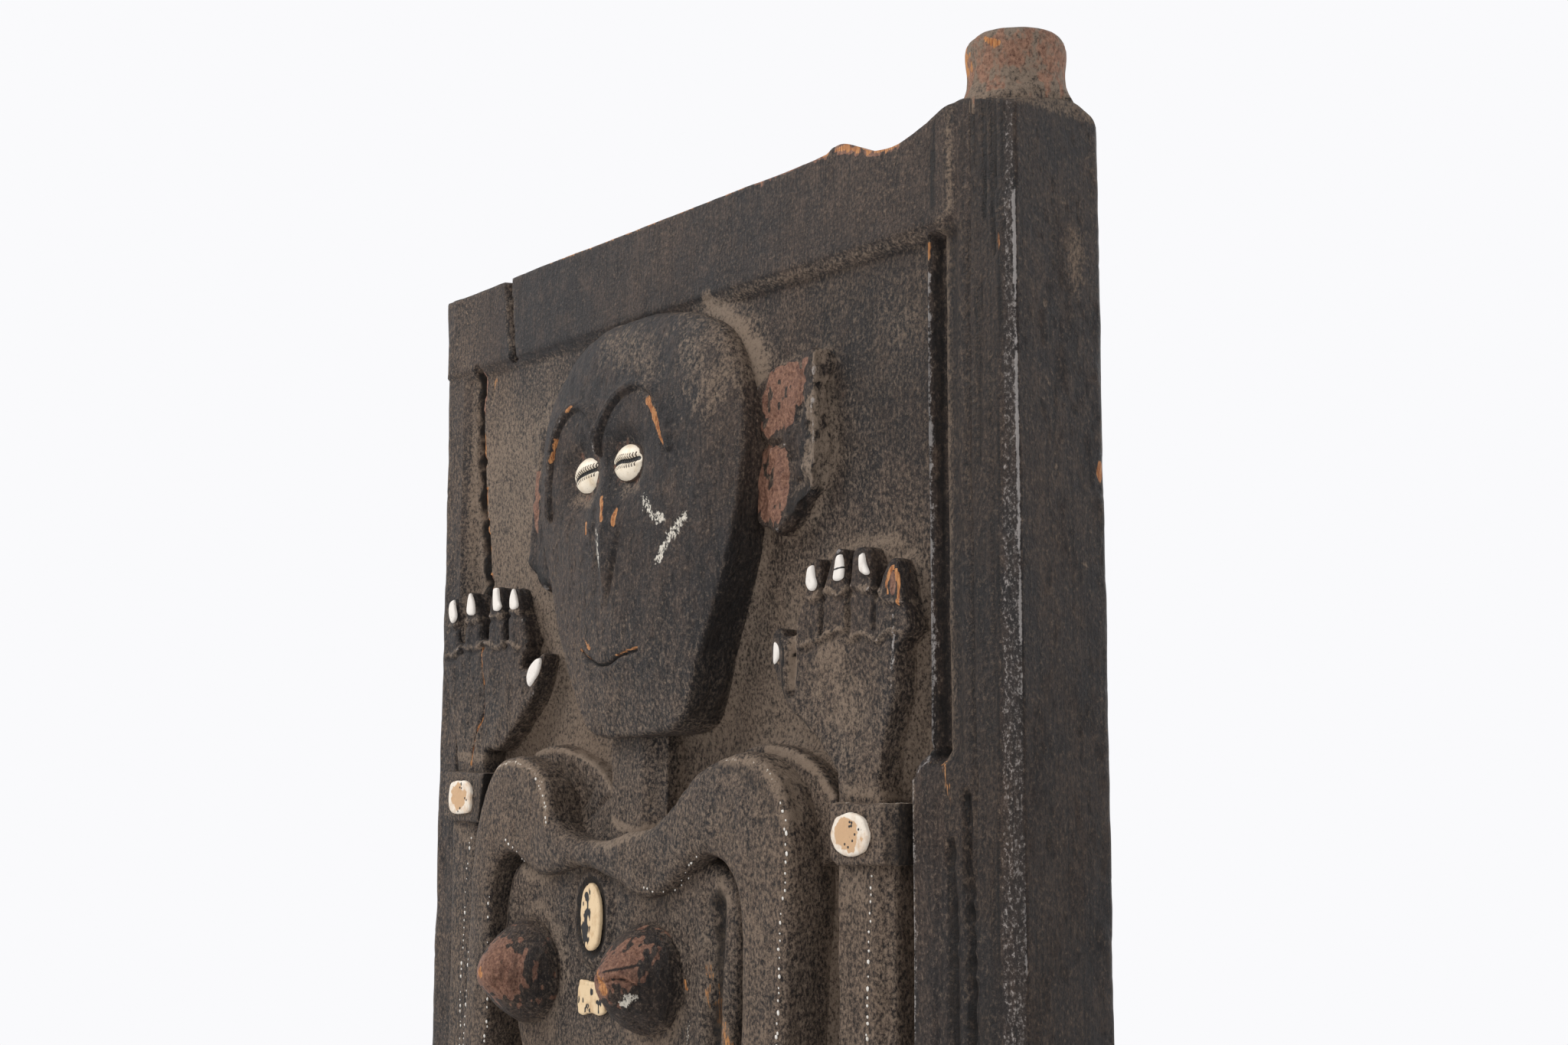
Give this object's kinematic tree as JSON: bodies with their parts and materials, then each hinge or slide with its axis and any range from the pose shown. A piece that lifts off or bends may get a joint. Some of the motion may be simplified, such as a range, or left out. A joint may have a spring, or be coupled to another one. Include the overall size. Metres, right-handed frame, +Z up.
{
  "type": "carved granary door",
  "caption": "Carved wooden granary door with a hinge post, two pintles, a framed figure with raised hands in relief and pale inlays.",
  "frame": {"origin": "on the hinge axis, halfway down the lower pintle", "axes": "+Z up along the hinge axis, -Y out of the carved face, +X towards the hinge post's side"},
  "size_m": [0.477, 0.0915, 0.774],
  "materials": {
    "dark_wood": "dark weathered patina, matt with worn edges",
    "eye_shell": "aged shell, satin",
    "pale_inlay": "worn pale bone, matt",
    "nail_bone": "worn white, matt"
  },
  "bodies": {
    "root": {"door_board": "dark_wood", "left_eye_shell": "eye_shell", "right_eye_shell": "eye_shell", "left_wrist_disc": "pale_inlay", "right_wrist_disc": "pale_inlay", "chest_oval": "pale_inlay", "belly_square": "pale_inlay", "left_nail_little": "nail_bone", "left_nail_ring": "nail_bone", "left_nail_middle": "nail_bone", "left_nail_index": "nail_bone", "left_nail_thumb": "nail_bone", "right_nail_index": "nail_bone", "right_nail_middle": "nail_bone", "right_nail_ring": "nail_bone", "right_nail_thumb": "nail_bone"}
  },
  "joints": []
}
